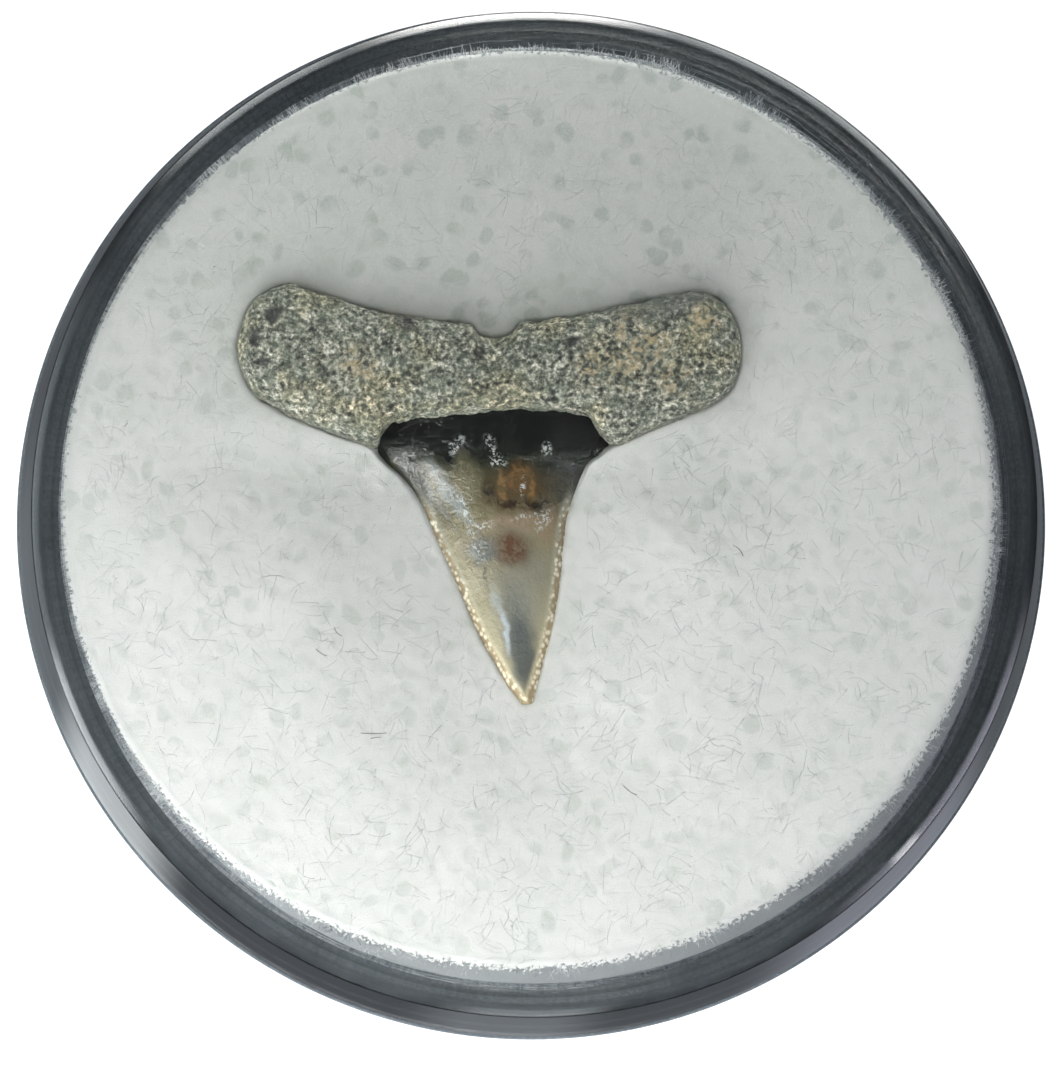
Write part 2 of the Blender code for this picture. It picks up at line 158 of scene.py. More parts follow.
# Stains on the crown, with a painted sheen and a painted highlight among them: x and y of the middle,
# half width, half height, colour, share, lean, raggedness
CROWN_STAINS_AND_SHEEN = [
    (-0.4, -1.75, 1.0, 0.7, (0.27, 0.265, 0.215), 0.75, 0.0, 0.3),
    (-0.5, -2.9, 0.65, 0.9, (0.26, 0.27, 0.25), 0.65, 5.0, 0.0),
    (-0.35, -4.05, 0.42, 1.35, (0.1, 0.118, 0.122), 0.9, 9.0, 0.0),
    (-3.55, 0.95, 0.36, 1.05, (0.035, 0.04, 0.034), 0.85, 25.0, 0.3),
    # Painted reflection: a grey-blue sheen down the left flank, in the next two rows
    (-2.45, 0.6, 0.22, 1.3, (0.33, 0.37, 0.37), 0.75, 34.0, 1.0),
    (-2.75, 0.2, 0.1, 0.9, (0.2, 0.22, 0.21), 0.6, 30.0, 1.0),
    (-2.0, 1.15, 0.36, 0.7, (0.22, 0.2, 0.12), 0.75, 15.0, 0.4),
    (1.3, 1.3, 0.85, 1.0, (0.018, 0.024, 0.018), 0.88, -14.0, 0.2),
    (0.6, 0.75, 0.5, 0.6, (0.07, 0.068, 0.04), 0.75, 0.0, 0.6),
    (-0.45, 0.75, 0.95, 0.7, (0.1, 0.06, 0.026), 0.85, 0.0, 0.7),
    (-0.45, 1.2, 0.34, 0.42, (0.26, 0.14, 0.045), 0.8, 0.0, 0.8),
    (-0.95, 0.9, 0.1, 0.5, (0.34, 0.2, 0.08), 0.7, 5.0, 0.9),
    (-0.05, 0.7, 0.08, 0.45, (0.36, 0.2, 0.06), 0.7, -6.0, 0.9),
    (0.05, 0.4, 0.4, 0.22, (0.016, 0.012, 0.008), 0.9, 0.0, 0.9),
    (-1.35, 0.75, 0.2, 0.32, (0.03, 0.026, 0.018), 0.85, 0.0, 1.0),
    (-0.75, 0.4, 0.34, 0.12, (0.025, 0.016, 0.01), 0.9, 0.0, 1.0),
    (-0.6, -0.2, 0.95, 0.3, (0.4, 0.3, 0.21), 0.75, 4.0, 0.7),
    (0.55, -0.3, 0.42, 0.55, (0.33, 0.22, 0.13), 0.55, 0.0, 0.6),
    (-0.95, -0.85, 1.0, 0.6, (0.22, 0.19, 0.135), 0.75, 0.0, 0.4),
    (-0.65, -0.95, 0.5, 0.46, (0.12, 0.052, 0.025), 0.9, -12.0, 0.5),
    (-1.55, -1.05, 0.42, 0.36, (0.15, 0.175, 0.18), 0.8, 20.0, 0.5),
    # Painted highlight: a blue-white streak on the left flank
    (-0.85, -3.35, 0.09, 0.65, (0.6, 0.68, 0.74), 0.8, 11.0, 0.5),
    (-1.2, -2.4, 0.14, 0.3, (0.46, 0.5, 0.5), 0.7, 20.0, 0.9),
    (-1.45, -1.9, 0.05, 0.4, (0.06, 0.035, 0.025), 0.7, 6.0, 0.8),
]
# Painted glints on the crown: x and y of the middle, half width, half height and lean
CROWN_PAINTED_GLINTS = [
    (-1.25, 2.0, 0.14, 0.34, 15.0), (-1.1, 1.65, 0.2, 0.14, 0.0), (-2.3, 2.2, 0.3, 0.1, 60.0),
    (0.4, 2.0, 0.12, 0.16, 0.0), (-1.5, -0.25, 0.34, 0.12, 20.0), (0.3, -0.12, 0.16, 0.26, -20.0),
    (-2.05, 0.15, 0.14, 0.5, 30.0), (-0.3, 0.95, 0.08, 0.3, 0.0), (-0.1, 0.05, 0.5, 0.08, 12.0),
    (-1.75, -0.8, 0.12, 0.5, 28.0), (2.1, 1.95, 0.2, 0.1, 0.0),
]

# Pad
PAD_NECK_RADIUS = NECK_INNER - 0.08
PAD_SWELL_RADIUS = 14.06
PAD_SWELL_SQUASH = 0.983
PAD_OFF_CENTRE = (-0.18, 0.22)
PAD_EDGE = 0.12
PAD_SHADE_FROM = 14.02
PAD_RAGGED = 0.15
PAD_SIDE = 0.6
PAD_SLOPE_REACH = 6.0
PAD_LEVEL_ROOT = 15.9
PAD_LEVEL_CROWN = 15.25
PAD_LEVEL_TIP = 15.75
PAD_FURTHEST = 14.43
FRINGE_COUNT = 6000
FRINGE_STEPS = 4
# The fringe's white fibres are tinted dark blue-grey to grey: painted shade over the dark gap at the
# rim.
FRINGE_SHADE_TINTS = ((0.12, 0.14, 0.17), (0.6, 0.63, 0.65))
LINT_COUNT = 4500
LINT_STEPS = 4
LINT_LIFT = 0.002
LINT_TINTS = ((0.34, 0.37, 0.38), (0.68, 0.7, 0.69))
# Stray hairs on the pad: x, y, length, heading and bend in degrees
PAD_HAIRS = [
    (-5.2, -6.53, 0.75, -5.0, 12.0), (-6.0, -3.35, 0.35, -75.0, 60.0),
    (-6.55, -4.0, 0.4, -50.0, 40.0), (-4.9, -6.7, 0.3, 20.0, -30.0),
    (6.3, -1.2, 0.45, 110.0, 50.0), (3.1, -8.4, 0.5, 160.0, -35.0),
]
HAIR_STEPS = 8
HAIR_RADIUS = 0.014
HAIR_LIFT = 0.015
PAD_TOP = TOOTH_TOP - 0.9
PAD_RINGS = 110
PAD_MIDDLE = 0.12
PAD_SEGMENTS = 480

# Studio
WORLD_BASE = 0.06
WORLD_TONE = (0.93, 0.96, 1.0)
PANEL_CORE = 0.3
# Panels of light: azimuth, elevation, half the width and half the height in degrees, strength, colour
WORLD_PANELS = [
    (92.0, -2.0, 20.0, 52.0, 15.0, (1.0, 1.0, 0.98)),
    (-155.0, -2.0, 15.0, 52.0, 6.0, (0.93, 0.98, 1.0)),
    (180.0, -2.0, 36.0, 52.0, 1.6, (0.84, 0.95, 1.0)),
    (-90.0, -2.0, 12.0, 52.0, 2.2, (0.93, 0.97, 1.0)),
    (-30.0, -2.0, 26.0, 52.0, 3.0, (0.84, 0.84, 1.0)),
    (-40.0, -2.0, 3.0, 50.0, 5.0, (1.0, 1.0, 1.0)),
    (58.0, -2.0, 30.0, 52.0, 4.0, (0.95, 1.0, 1.0)),
    (122.0, -2.0, 17.0, 52.0, 4.0, (0.95, 1.0, 1.0)),
    (-155.0, -80.0, 17.0, 30.0, 0.62, (0.93, 0.98, 1.0)),
    (180.0, -80.0, 32.0, 30.0, 0.1, (0.8, 0.93, 1.0)),
    (-90.0, -80.0, 16.0, 30.0, 0.15, (0.86, 0.94, 1.0)),
    (-33.0, -80.0, 26.0, 30.0, 0.2, (0.82, 0.84, 1.0)),
    (60.0, -80.0, 30.0, 30.0, 0.25, (0.95, 1.0, 1.0)),
    (0.0, -80.0, 700.0, 30.0, 0.07, (0.74, 0.88, 1.0)),
]
FLOOR_GLOW = 0.9
FLOOR_TONE = 0.25
FLOOR_REACH = 600.0
KEY_AIM = (0.0, 0.0, 15.0)
KEY_PLACE = (-22.0, -48.0, 50.0)
KEY_SIZE = (70.0, 46.0)
KEY_POWER = 0.136

# Camera, from the two rings that the jar shows
CAMERA_DISTANCE = 350.0
CAMERA_TILT_X = math.radians(0.627)
CAMERA_TILT_Y = math.radians(2.0)
CAMERA_AIM = (0.083, -0.135)
CAMERA_LENS = 371.3


# Shape helpers


def arc(centre_r, centre_z, radius, start, end, steps):
    """Points of a circular arc in the (radius, height) plane, angles in degrees."""
    angles = np.radians(np.linspace(start, end, steps + 1))
    return [(centre_r + radius * math.cos(a), centre_z + radius * math.sin(a)) for a in angles]


def smooth_path(points, per_span, closed=False):
    """A Catmull-Rom curve through the points, as a list of (x, y) samples."""
    count = len(points)
    samples = []
    for span in range(count if closed else count - 1):
        places = range(span - 1, span + 3)
        places = [place % count if closed else min(max(place, 0), count - 1) for place in places]
        corners = list(zip(*(points[place] for place in places)))
        for step in range(per_span):
            t = step / per_span
            samples.append(tuple(
                0.5 * (2.0 * b + (c - a) * t + (2.0 * a - 5.0 * b + 4.0 * c - d) * t * t
                       + (3.0 * b - a - 3.0 * c + d) * t ** 3) for a, b, c, d in corners))
    if not closed:
        samples.append(points[-1])
    return samples


def smooth_step(value):
    """Ease from 0 to 1, for numbers and arrays."""
    value = np.clip(value, 0.0, 1.0)
    return value * value * (3.0 - 2.0 * value)


def signed_power(value, exponent):
    """Power that keeps the sign, for superellipses."""
    return np.sign(value) * np.abs(value) ** exponent


def noise_at(points, size, offset=0.0):
    """Smooth noise between about -1 and 1 at each point, with lumps of the given size in mm."""
    shift = Vector((offset, offset * 0.7, offset * 1.3))
    return np.array([noise.noise(Vector(p) / size + shift) for p in points])


def pores_at(points, size, offset=0.0):
    """Distance to the nearest middle of scattered cells, in cells, at each point."""
    shift = Vector((offset, -offset, offset * 0.5))
    return np.array([noise.voronoi(Vector(p) / size + shift)[0][0] for p in points])


def ring(radius, height, points):
    """Points of a level circle about the Z axis."""
    angle = np.linspace(0.0, 2.0 * math.pi, points, endpoint=False)
    return np.stack([radius * np.cos(angle), radius * np.sin(angle), np.full(points, height)], 1)


def ring_faces(ring_count, ring_size):
    """Quads between rings and triangles to the two poles, which are the last two vertices."""
    faces = []
    for row in range(ring_count - 1):
        here = row * ring_size
        there = here + ring_size
        for index in range(ring_size):
            following = (index + 1) % ring_size
            faces.append((here + index, here + following, there + following, there + index))
    start_pole = ring_count * ring_size
    last = (ring_count - 1) * ring_size
    for index in range(ring_size):
        following = (index + 1) % ring_size
        faces.append((following, index, start_pole))
        faces.append((last + index, last + following, start_pole + 1))
    return faces


def add_mesh(name, vertices, faces, material_slots, collection, smooth=True, face_slots=None):
    """Make a mesh object from vertices in millimetres."""
    mesh = bpy.data.meshes.new(name)
    mesh.from_pydata((np.asarray(vertices) * MM).tolist(), [], faces)
    for material in material_slots:
        mesh.materials.append(material)
    if face_slots is not None:
        mesh.polygons.foreach_set("material_index", face_slots)
    mesh.polygons.foreach_set("use_smooth", [smooth] * len(mesh.polygons))
    mesh.update()
    made = bpy.data.objects.new(name, mesh)
    collection.objects.link(made)
    return made


def add_attribute(piece, name, values):
    """Store one number per vertex for the materials to read."""
    layer = piece.data.attributes.new(name, "FLOAT", "POINT")
    layer.data.foreach_set("value", np.asarray(values, dtype=np.float32))


def face_outwards(piece):
    """Turn the faces so that the closed piece's normals point out of it."""
    mesh = piece.data
    places = np.empty(len(mesh.vertices) * 3)
    mesh.vertices.foreach_get("co", places)
    places = places.reshape(-1, 3)
    mesh.calc_loop_triangles()
    corners = np.empty(len(mesh.loop_triangles) * 3, dtype=np.int32)
    mesh.loop_triangles.foreach_get("vertices", corners)
    a, b, c = (places[corners.reshape(-1, 3)[:, k]] for k in range(3))
    volume = float(np.einsum("ij,ij->i", a, np.cross(b, c)).sum())
    if volume < 0.0:
        mesh.flip_normals()


def turned(name, profile, material, collection):
    """Turn a profile about the Z axis; its first and last points lie on the axis."""
    rings = [ring(radius, height, TURN_SEGMENTS) for radius, height in profile[1:-1]]
    vertices = np.concatenate(rings + [[(0.0, 0.0, profile[0][1])], [(0.0, 0.0, profile[-1][1])]])
    piece = add_mesh(name, vertices, ring_faces(len(rings), TURN_SEGMENTS), [material], collection)
    face_outwards(piece)
    piece.data.set_sharp_from_angle(angle=math.radians(SHARP_ANGLE))
    return piece


# Material helpers


class Nodes:
    """A node tree with short calls for the nodes that the materials and the world share."""

    def __init__(self, tree):
        self.tree = tree

    def value(self, target, source):
        """Feed a socket from a number, a colour or another socket."""
        if isinstance(source, bpy.types.NodeSocket):
            self.tree.links.new(source, target)
        elif isinstance(source, tuple) and len(source) == 3 and len(target.default_value) == 4:
            target.default_value = (*source, 1.0)
        else:
            target.default_value = source

    def feed(self, node, sockets):
        """Feed a node's sockets by name, with _ for a space."""
        for name, source in sockets.items():
            self.value(node.inputs[name.replace("_", " ")], source)

    def node(self, kind, **sockets):
        node = self.tree.nodes.new("ShaderNode" + kind)
        self.feed(node, sockets)
        return node

    def operate(self, kind, operation, *values):
        """Add a node that works on values in order, and return its outputs."""
        node = self.node(kind)
        node.operation = operation
        for socket, value in zip(node.inputs, values):
            self.value(socket, value)
        return node.outputs

    def math(self, operation, *values):
        return self.operate("Math", operation, *values)[0]

    def times(self, a, b):
        return self.math("MULTIPLY", a, b)

    def vector(self, operation, *values):
        return self.operate("VectorMath", operation, *values)

    def axes(self, place):
        """The x, y and z of a place."""
        return self.node("SeparateXYZ", Vector=place).outputs

    def spread(self, source, low, high, to_low=0.0, to_high=1.0):
        """Stretch a range of values to another, with soft ends."""
        node = self.node("MapRange", Value=source, From_Min=low, From_Max=high,
                         To_Min=to_low, To_Max=to_high)
        node.interpolation_type = "SMOOTHSTEP"
        return node.outputs["Result"]


class Shader(Nodes):
    """A material, with textures whose sizes and places are in mm."""

    def __init__(self, name):
        self.material = bpy.data.materials.new(name)
        self.material.use_nodes = True
        super().__init__(self.material.node_tree)
        self.place = self.node("TexCoord").outputs["Object"]
        self.warped = None

    def set(self, **sockets):
        """Feed the shader's own sockets."""
        self.feed(self.tree.nodes["Principled BSDF"], sockets)

    def finish(self, **sockets):
        """Feed the shader's own sockets and return the material."""
        self.set(**sockets)
        return self.material

    def noise(self, size, detail=2.0, roughness=0.5, distortion=0.0, output="Fac", place=None):
        """Noise with features of a size in mm."""
        node = self.node("TexNoise", Scale=1.0 / (size * MM), Detail=detail, Roughness=roughness,
                         Distortion=distortion, Vector=place or self.place)
        return node.outputs[output]

    def voronoi(self, size, place=None):
        """Distance to the nearest middle of scattered cells of a size in mm, in cells."""
        node = self.node("TexVoronoi", Scale=1.0 / (size * MM), Vector=place or self.place)
        return node.outputs["Distance"]

    def bent(self, size, amount):
        """The place with a noise of some mm added, so that cells lose their straight sides."""
        shift = self.noise(size, detail=1.0, output="Color")
        shift = self.vector("MULTIPLY_ADD", shift, (2.0 * amount * MM,) * 3, (-amount * MM,) * 3)[0]
        return self.vector("ADD", shift, self.place)[0]

    def attribute(self, name):
        """A number stored on the piece's vertices."""
        node = self.node("Attribute")
        node.attribute_name = name
        return node.outputs["Fac"]

    def mix(self, share, a, b, blend="MIX"):
        """Mix two colours."""
        node = self.node("Mix")
        node.data_type = "RGBA"
        node.blend_type = blend
        for index, source in ((0, share), (6, a), (7, b)):
            self.value(node.inputs[index], source)
        return node.outputs[2]

    def ramp(self, source, *stops):
        """Colour ramp with (position, colour) stops."""
        node = self.node("ValToRGB", Fac=source)
        elements = node.color_ramp.elements
        while len(elements) < len(stops):
            elements.new(0.5)
        for element, (position, color) in zip(elements, stops):
            element.position = position
            element.color = (*color, 1.0)
        return node.outputs["Color"]

    def near(self, x, y, wide, tall=None, soft=0.5, lean=0.0):
        """1 inside an ellipse in mm round a place seen along Z, 0 outside it, with a soft rim."""
        node = self.node("Mapping", Vector=self.warped or self.place, Location=(x * MM, y * MM, 0.0),
                         Rotation=(0.0, 0.0, math.radians(lean)),
                         Scale=(wide * MM, (tall or wide) * MM, 1000.0))
        node.vector_type = "TEXTURE"
        length = self.vector("LENGTH", node.outputs["Vector"])["Value"]
        return self.spread(length, 1.0 + soft, 1.0 - soft)

    def radius_from(self, x, y, squash=1.0):
        """Distance in metres, seen along Z, from a place in mm."""
        axes = self.axes(self.place)
        across = self.math("POWER", self.math("SUBTRACT", axes[0], x * MM), 2.0)
        along = self.math("DIVIDE", self.math("SUBTRACT", axes[1], y * MM), squash)
        return self.math("SQRT", self.math("ADD", across, self.math("POWER", along, 2.0)))

    def bump(self, height, distance, strength=1.0):
        """The normal of a bump whose full height is a distance in mm."""
        node = self.node("Bump", Height=height, Distance=distance * MM, Strength=strength)
        return node.outputs["Normal"]


def clear_plastic():
    """Clear moulded polystyrene with fine turning lines on its shoulder."""
    shader = Shader("clear_plastic")
    shader.set(Base_Color=(0.985, 0.988, 0.98, 1.0), Transmission_Weight=1.0, IOR=1.59, Roughness=0.015)
    axes = shader.axes(shader.place)
    radius = shader.radius_from(0.0, 0.0)
    turning = shader.node("CombineXYZ", X=radius, Y=shader.times(axes[0], 0.02), Z=axes[2]).outputs[0]
    lines = shader.noise(0.16, detail=3.0, roughness=0.7, place=turning)
    far_out = shader.spread(radius, LINES_FROM[0] * MM, LINES_FROM[1] * MM)
    high_up = shader.spread(axes[2], LINES_ABOVE[0] * MM, LINES_ABOVE[1] * MM)
    at_rim = shader.times(far_out, high_up)
    ripple = shader.noise(6.0, detail=1.0)
    height = shader.math("ADD", ripple, shader.times(shader.times(lines, at_rim), 0.8))
    return shader.finish(Normal=shader.bump(height, 0.02, 0.5))


def black_plastic():
    """Black moulded plastic with a soft sheen."""
    shader = Shader("black_plastic")
    fine = shader.noise(0.12, detail=3.0)
    broad = shader.noise(3.0, detail=2.0)
    color = shader.mix(shader.spread(broad, 0.3, 0.7), (0.066, 0.08, 0.09), (0.084, 0.1, 0.112))
    roughness = shader.spread(fine, 0.3, 0.7, 0.2, 0.34)
    return shader.finish(Base_Color=color, Roughness=roughness, Normal=shader.bump(fine, 0.01, 0.4))


def white_fibre():
    """Matted white fibre: faint round dimples with painted shade in them, clouds of tone, painted shade
    over the upper half and a painted shadow at the rim.
    """
    shader = Shader("white_fibre")
    wander = shader.bent(0.9, 0.35)
    dimples = shader.spread(shader.voronoi(0.8, place=wander), 0.42, 0.24)
    rings = shader.spread(shader.voronoi(0.62, place=wander), 0.5, 0.2)
    present = shader.spread(shader.noise(1.1, detail=1.0), 0.36, 0.58)
    clouds = shader.spread(shader.noise(2.6, detail=2.0), 0.35, 0.7)
    lint = shader.noise(0.07, detail=3.0, distortion=2.5)
    color = shader.mix(clouds, (0.735, 0.75, 0.725), (0.78, 0.785, 0.77))
    # Painted shade: the upper half of the pad is greyed, as on the side that gets less light.
    painted_shade_top = shader.near(0.0, 14.0, 20.0, 10.0, soft=0.6)
    color = shader.mix(painted_shade_top, color, (0.79, 0.8, 0.79), blend="MULTIPLY")
    share = shader.times(present, shader.spread(painted_shade_top, 0.0, 1.0, 0.6, 1.0))
    # Darker in the dimples and round cells: painted shade in the pad's hollows, stronger in the shaded
    # upper half.
    color = shader.mix(shader.times(dimples, share), color, (0.77, 0.815, 0.785), blend="MULTIPLY")
    color = shader.mix(shader.times(rings, 0.3), color, (0.8, 0.83, 0.8), blend="MULTIPLY")
    color = shader.mix(shader.spread(lint, 0.45, 0.75, 0.0, 0.45), color, (0.88, 0.88, 0.87))
    color = shader.mix(shader.spread(lint, 0.42, 0.25, 0.0, 0.3), color, (0.55, 0.58, 0.55))
    # Painted shadow: a ragged near-black band at the pad's rim, where it drops into the dark gap by the
    # lid's wall, and a softer painted shade just inside it.
    from_middle = shader.radius_from(*PAD_OFF_CENTRE, PAD_SWELL_SQUASH)
    ragged = shader.noise(0.13, detail=3.0, roughness=0.7)
    ragged = shader.spread(ragged, 0.3, 0.7, -PAD_RAGGED * MM, PAD_RAGGED * MM)
    edge = shader.math("ADD", from_middle, ragged)
    edge = shader.spread(edge, PAD_SHADE_FROM * MM, (PAD_SHADE_FROM + 0.1) * MM)
    color = shader.mix(shader.times(edge, 0.9), color, (0.07, 0.085, 0.1))
    painted_edge_shade = shader.spread(from_middle, (PAD_SHADE_FROM - 0.4) * MM, PAD_SHADE_FROM * MM, 0.0, 0.3)
    color = shader.mix(painted_edge_shade, color, (0.42, 0.44, 0.44))
    height = shader.math("SUBTRACT", shader.times(lint, 0.7), shader.times(dimples, 0.3))
    shader.set(Roughness=0.95, Sheen_Weight=0.15, Specular_IOR_Level=0.2)
    return shader.finish(Base_Color=color, Normal=shader.bump(height, 0.06, 0.5))


def fibre_strand(name, dark, light):
    """Single loose fibres of the wadding."""
    shader = Shader(name)
    tint = shader.noise(1.5, detail=1.0)
    color = shader.mix(shader.spread(tint, 0.3, 0.7), dark, light)
    shader.set(Roughness=0.6, Specular_IOR_Level=0.4)
    return shader.finish(Base_Color=color)


def dark_hair():
    """Stray hairs that lie on the pad."""
    shader = Shader("dark_hair")
    color = shader.mix(shader.noise(0.5, detail=1.0), (0.08, 0.07, 0.06), (0.2, 0.18, 0.16))
    shader.set(Roughness=0.5)
    return shader.finish(Base_Color=color)


def root_bone():
    """Fossil bone of the root: salt-and-pepper grain on grey, tan stains, pores and dark spots, with
    painted shade along its outline and on the top edge of the right lobe.
    """
    shader = Shader("root_bone")
    shader.warped = shader.bent(0.5, 0.25)
    grain = shader.noise(0.15, detail=4.0, roughness=0.72)
    flecks = shader.noise(0.26, detail=3.0, roughness=0.6, distortion=0.8)
    patches = shader.noise(1.5, detail=3.0, roughness=0.6)
    tint = shader.noise(0.6, detail=2.0)
    pores = shader.voronoi(0.4)
    tone = shader.math("ADD", shader.times(grain, 0.65), shader.times(flecks, 0.35))
    grey = shader.ramp(tone, (0.38, (0.02, 0.024, 0.02)), (0.45, (0.1, 0.112, 0.088)),
                       (0.52, (0.28, 0.295, 0.235)), (0.575, (0.6, 0.6, 0.5)),
                       (0.62, (0.98, 0.96, 0.87)))
    color = shader.mix(shader.spread(tint, 0.42, 0.62, 0.0, 0.35), grey, (0.16, 0.2, 0.15))
    color = shader.mix(shader.spread(patches, 0.46, 0.66, 0.0, 0.6), color,
                       shader.mix(1.0, color, (1.3, 1.14, 0.86), "MULTIPLY"))
    for x, y, radius in ROOT_TAN_STAINS:
        share = shader.spread(flecks, 0.45, 0.6, 0.0, 0.65)
        share = shader.times(shader.near(x, y, radius, soft=0.8), share)
        color = shader.mix(share, color, (0.56, 0.43, 0.24))
    color = shader.mix(shader.spread(pores, 0.26, 0.1, 0.0, 0.8), color, (0.02, 0.024, 0.02))
    for x, y, radius in ROOT_DARK_SPOTS:
        share = shader.times(shader.near(x, y, radius, soft=0.6), 0.85)
        color = shader.mix(share, color, (0.016, 0.018, 0.02))
    # Painted shade: a darker band along the top edge of the right lobe, the side turned away from the
    # light.
    painted_shade_band = shader.near(4.6, 6.55, 2.6, 0.35, soft=0.5, lean=13.0)
    color = shader.mix(shader.times(painted_shade_band, 0.6), color, (0.09, 0.1, 0.095))
    # Painted shade: darker towards the root's outline, where its sides turn away from the light.
    color = shader.mix(shader.times(shader.attribute("rim"), 0.3), color, (0.05, 0.055, 0.05))
    height = shader.math("SUBTRACT", shader.times(tone, 0.9), shader.spread(pores, 0.3, 0.1, 0.0, 0.4))
    roughness = shader.spread(tone, 0.4, 0.64, 0.62, 0.34)
    return shader.finish(Base_Color=color, Roughness=roughness, Normal=shader.bump(height, 0.1, 0.8))


def crown_enamel():
    """Glossy enamel: olive black at the neck that is partly painted shadow under the ledge, brown
    stains, cream margins, a grey core to the tip, and a painted sheen, highlight and glints.
    """
    shader = Shader("crown_enamel")
    shader.warped = shader.bent(0.5, 0.16)
    down = shader.attribute("down")
    margin = shader.attribute("margin")
    wander = shader.noise(1.1, detail=4.0, distortion=0.8)
    streaks = shader.noise(0.22, detail=3.0, distortion=0.6)
    reach = shader.math("ADD", down, shader.times(shader.math("SUBTRACT", wander, 0.5), 0.2))
    # Near black at the neck: dark enamel there, partly painted shadow under the root's ledge.
    color = shader.ramp(reach, (0.21, (0.004, 0.007, 0.005)), (0.27, (0.02, 0.025, 0.015)),
                        (0.34, (0.085, 0.078, 0.04)), (0.48, (0.28, 0.25, 0.15)),
                        (0.68, (0.41, 0.38, 0.255)), (0.84, (0.5, 0.45, 0.29)))
    # Stains, and the painted sheen and highlight, laid over the colour.
    for x, y, wide, tall, tone, share, lean, ragged in CROWN_STAINS_AND_SHEEN:
        mask = shader.near(x, y, wide, tall, soft=0.6, lean=lean)
        mask = shader.times(mask, shader.spread(streaks, 0.35, 0.58, 1.0 - 0.8 * ragged, 1.0))
        color = shader.mix(shader.times(mask, share), color, tone)
    cream = shader.mix(shader.spread(down, 0.35, 0.95), (0.36, 0.36, 0.29), (0.72, 0.63, 0.42))
    share = shader.spread(down, 0.33, 0.45, 0.05, 0.95)
    color = shader.mix(shader.times(shader.spread(margin, 0.42, 0.22), share), color, cream)
    cells = shader.voronoi(0.17)
    low_down = shader.spread(down, 0.36, 0.45)
    beads = shader.times(shader.spread(cells, 0.5, 0.2), shader.spread(margin, 0.34, 0.2))
    color = shader.mix(shader.times(shader.times(beads, low_down), 0.85), color, (1.0, 0.93, 0.74))
    between = shader.times(shader.spread(cells, 0.42, 0.62), shader.spread(margin, 0.3, 0.16))
    color = shader.mix(shader.times(shader.times(between, low_down), 0.7), color, (0.3, 0.21, 0.1))
    # Painted glints: blue-white specks in small patches.
    speck = shader.spread(shader.noise(0.11, detail=2.0, distortion=1.0), 0.5, 0.6)
    for x, y, wide, tall, lean in CROWN_PAINTED_GLINTS:
        share = shader.times(shader.near(x, y, wide, tall, soft=0.8, lean=lean), speck)
        color = shader.mix(shader.times(share, 0.75), color, (0.74, 0.79, 0.78))
    fine = shader.noise(0.07, detail=2.0)
    height = shader.math("ADD", shader.times(streaks, 0.8), shader.times(fine, 0.25))
    shader.set(IOR=1.5, Coat_Weight=0.12, Coat_Roughness=0.06)
    roughness = shader.spread(streaks, 0.3, 0.7, 0.1, 0.26)
    return shader.finish(Base_Color=color, Roughness=roughness, Normal=shader.bump(height, 0.07, 0.8))


# Jar


def cup_profile():
    """Cup from the underside's centre, up the outside, over the neck and down to the floor."""
    shoulder = LID_LIP - SHOULDER_GAP
    rim = (NECK_OUTER - NECK_INNER) / 2.0
    rim_centre = (NECK_OUTER + NECK_INNER) / 2.0
    profile = [(0.0, FOOT_RECESS), (FOOT_RING_INNER - FOOT_RECESS, FOOT_RECESS), (FOOT_RING_INNER, 0.0)]
    profile += arc(FOOT_RADIUS - FOOT_FILLET, FOOT_FILLET, FOOT_FILLET, -90, 0, 10)
    bevel = CUP_EDGE_BEVEL
    profile += arc(CUP_SHOULDER_RADIUS - bevel, shoulder - bevel, bevel, 0, 90, 4)
    profile += [(NECK_OUTER + NECK_FOOT, shoulder), (NECK_OUTER, shoulder + NECK_FOOT)]
    profile += arc(rim_centre, NECK_TOP - rim, rim, 0, 180, 16)
    fillet = CUP_INNER_FILLET
    profile += arc(NECK_INNER - fillet, CUP_FLOOR + fillet, fillet, 0, -90, 8)
    profile += [(0.0, CUP_FLOOR)]
    return profile


def lid_profile():
    """Lid from the top's centre, down the outside, round the lip and up the inside."""
    underside = JAR_TOP - LID_PLATE
    profile = [(0.0, JAR_TOP)]
    dip = JAR_TOP - LID_RING_DEPTH
    for radius in LID_RINGS:
        profile += [(radius - LID_RING_FOOT, JAR_TOP), (radius - LID_RING_FLOOR, dip)]
        profile += [(radius + LID_RING_FLOOR, dip), (radius + LID_RING_FOOT, JAR_TOP)]
    profile += arc(LID_TOP_RADIUS - LID_SHOULDER, JAR_TOP - LID_SHOULDER, LID_SHOULDER, 90, 5, 24)
    profile += [(LID_RADIUS, LID_LIP), (LID_INNER_LIP, LID_LIP), (LID_INNER_TOP, underside)]
    profile += [(0.0, underside)]
    return profile


# Tooth


def root_edges():
    """Basal edge and ledge edge of the root, each as arrays of x and y sorted by x."""
    outline = smooth_path(ROOT_OUTLINE, 24, closed=True)
    left = min(range(len(outline)), key=lambda index: outline[index][0])
    right = max(range(len(outline)), key=lambda index: outline[index][0])
    outline = outline[right:] + outline[:right]
    turn = (left - right) % len(outline)
    basal = np.array(sorted(outline[:turn + 1]))
    ledge = np.array(sorted(outline[turn:] + outline[:1]))
    return basal, ledge


def root_stations(start, end):
    """Places along the root, closer together round the two ends."""
    turns = 0.5 * math.pi * np.arange(1, ROOT_END_STEPS) / ROOT_END_STEPS
    into = ROOT_END_ROUNDING * (1.0 - np.cos(turns))
    middle = end - start - 2.0 * ROOT_END_ROUNDING
    count = round(middle / ROOT_STATION_STEP)
    inner = start + ROOT_END_ROUNDING + middle * np.linspace(0.0, 1.0, count + 1)
    return np.concatenate([start + into, inner, end - into[::-1]])


